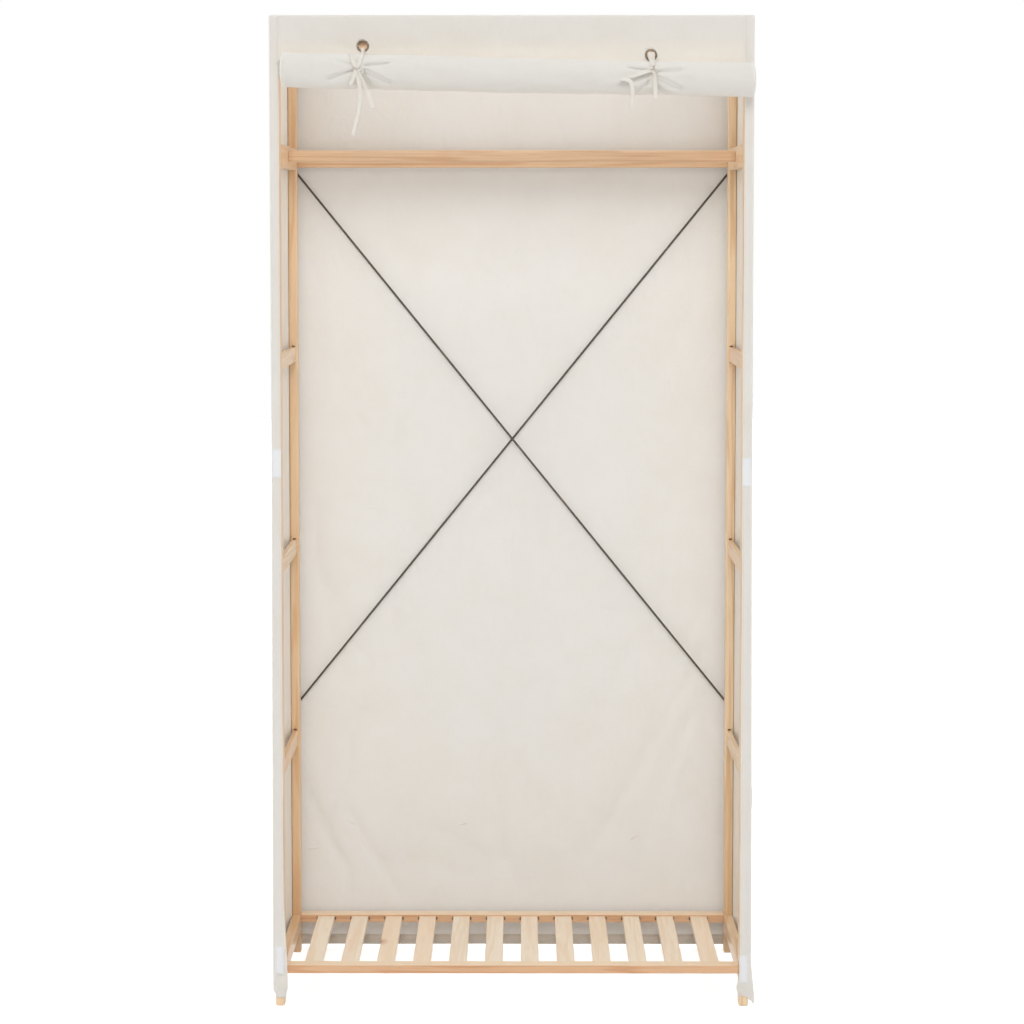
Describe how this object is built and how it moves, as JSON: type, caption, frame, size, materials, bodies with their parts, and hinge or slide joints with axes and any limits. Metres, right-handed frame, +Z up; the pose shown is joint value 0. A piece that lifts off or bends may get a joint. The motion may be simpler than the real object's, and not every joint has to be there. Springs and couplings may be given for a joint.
{
  "type": "portable fabric wardrobe",
  "caption": "Free-standing wardrobe with a slim pine frame, slatted shelf and clothes rail under a pale canvas cover whose front flap is rolled up and tied.",
  "frame": {"origin": "on the floor under the middle of the object's bounding box", "axes": "+X to the right and +Y to the back as seen from the open front, +Z up"},
  "size_m": [0.8384, 0.4922, 1.7],
  "materials": {
    "pine": "satin",
    "rod_steel": "satin",
    "canvas": "matte",
    "cotton_tape": "matte",
    "eyelet_metal": "antique",
    "hook_tape": "matte"
  },
  "bodies": {
    "root": {"post_front_left": "pine", "post_front_right": "pine", "post_back_left": "pine", "post_back_right": "pine", "side_rail_top_left": "pine", "side_rail_hanger_left": "pine", "side_rung_upper_left": "pine", "side_rung_middle_left": "pine", "side_rung_lower_left": "pine", "side_rail_shelf_left": "pine", "side_rail_top_right": "pine", "side_rail_hanger_right": "pine", "side_rung_upper_right": "pine", "side_rung_middle_right": "pine", "side_rung_lower_right": "pine", "side_rail_shelf_right": "pine", "top_front_rail": "pine", "top_back_rail": "pine", "back_rail": "pine", "shelf_front_rail": "pine", "shelf_back_rail": "pine", "hanging_rail": "pine", "shelf_slat_01": "pine", "shelf_slat_02": "pine", "shelf_slat_03": "pine", "shelf_slat_04": "pine", "shelf_slat_05": "pine", "shelf_slat_06": "pine", "shelf_slat_07": "pine", "shelf_slat_08": "pine", "shelf_slat_09": "pine", "shelf_slat_10": "pine", "shelf_slat_11": "pine", "shelf_slat_12": "pine", "brace_rod_under": "rod_steel", "brace_rod_over": "rod_steel", "brace_screw_upper_left": "rod_steel", "brace_screw_lower_left": "rod_steel", "brace_screw_upper_right": "rod_steel", "brace_screw_lower_right": "rod_steel", "cover_top": "canvas", "cover_back": "canvas", "cover_side_left": "canvas", "cover_side_right": "canvas", "front_strip_left": "canvas", "front_strip_right": "canvas", "cover_valance": "canvas", "flap_sheet": "canvas", "eyelet_left": "eyelet_metal", "eyelet_right": "eyelet_metal", "tie_left": "cotton_tape", "tie_right": "cotton_tape", "hook_patch_middle_left": "hook_tape", "hook_patch_lower_left": "hook_tape", "hook_patch_middle_right": "hook_tape", "hook_patch_lower_right": "hook_tape"},
    "flap": {"flap_roll": "canvas"}
  },
  "joints": [
    {"name": "flap_lower", "type": "slide", "parent": "root", "child": "flap", "axis": [0, 0, -1], "range_m": [0, 1.52], "deforming": ["flap_sheet"]}
  ]
}
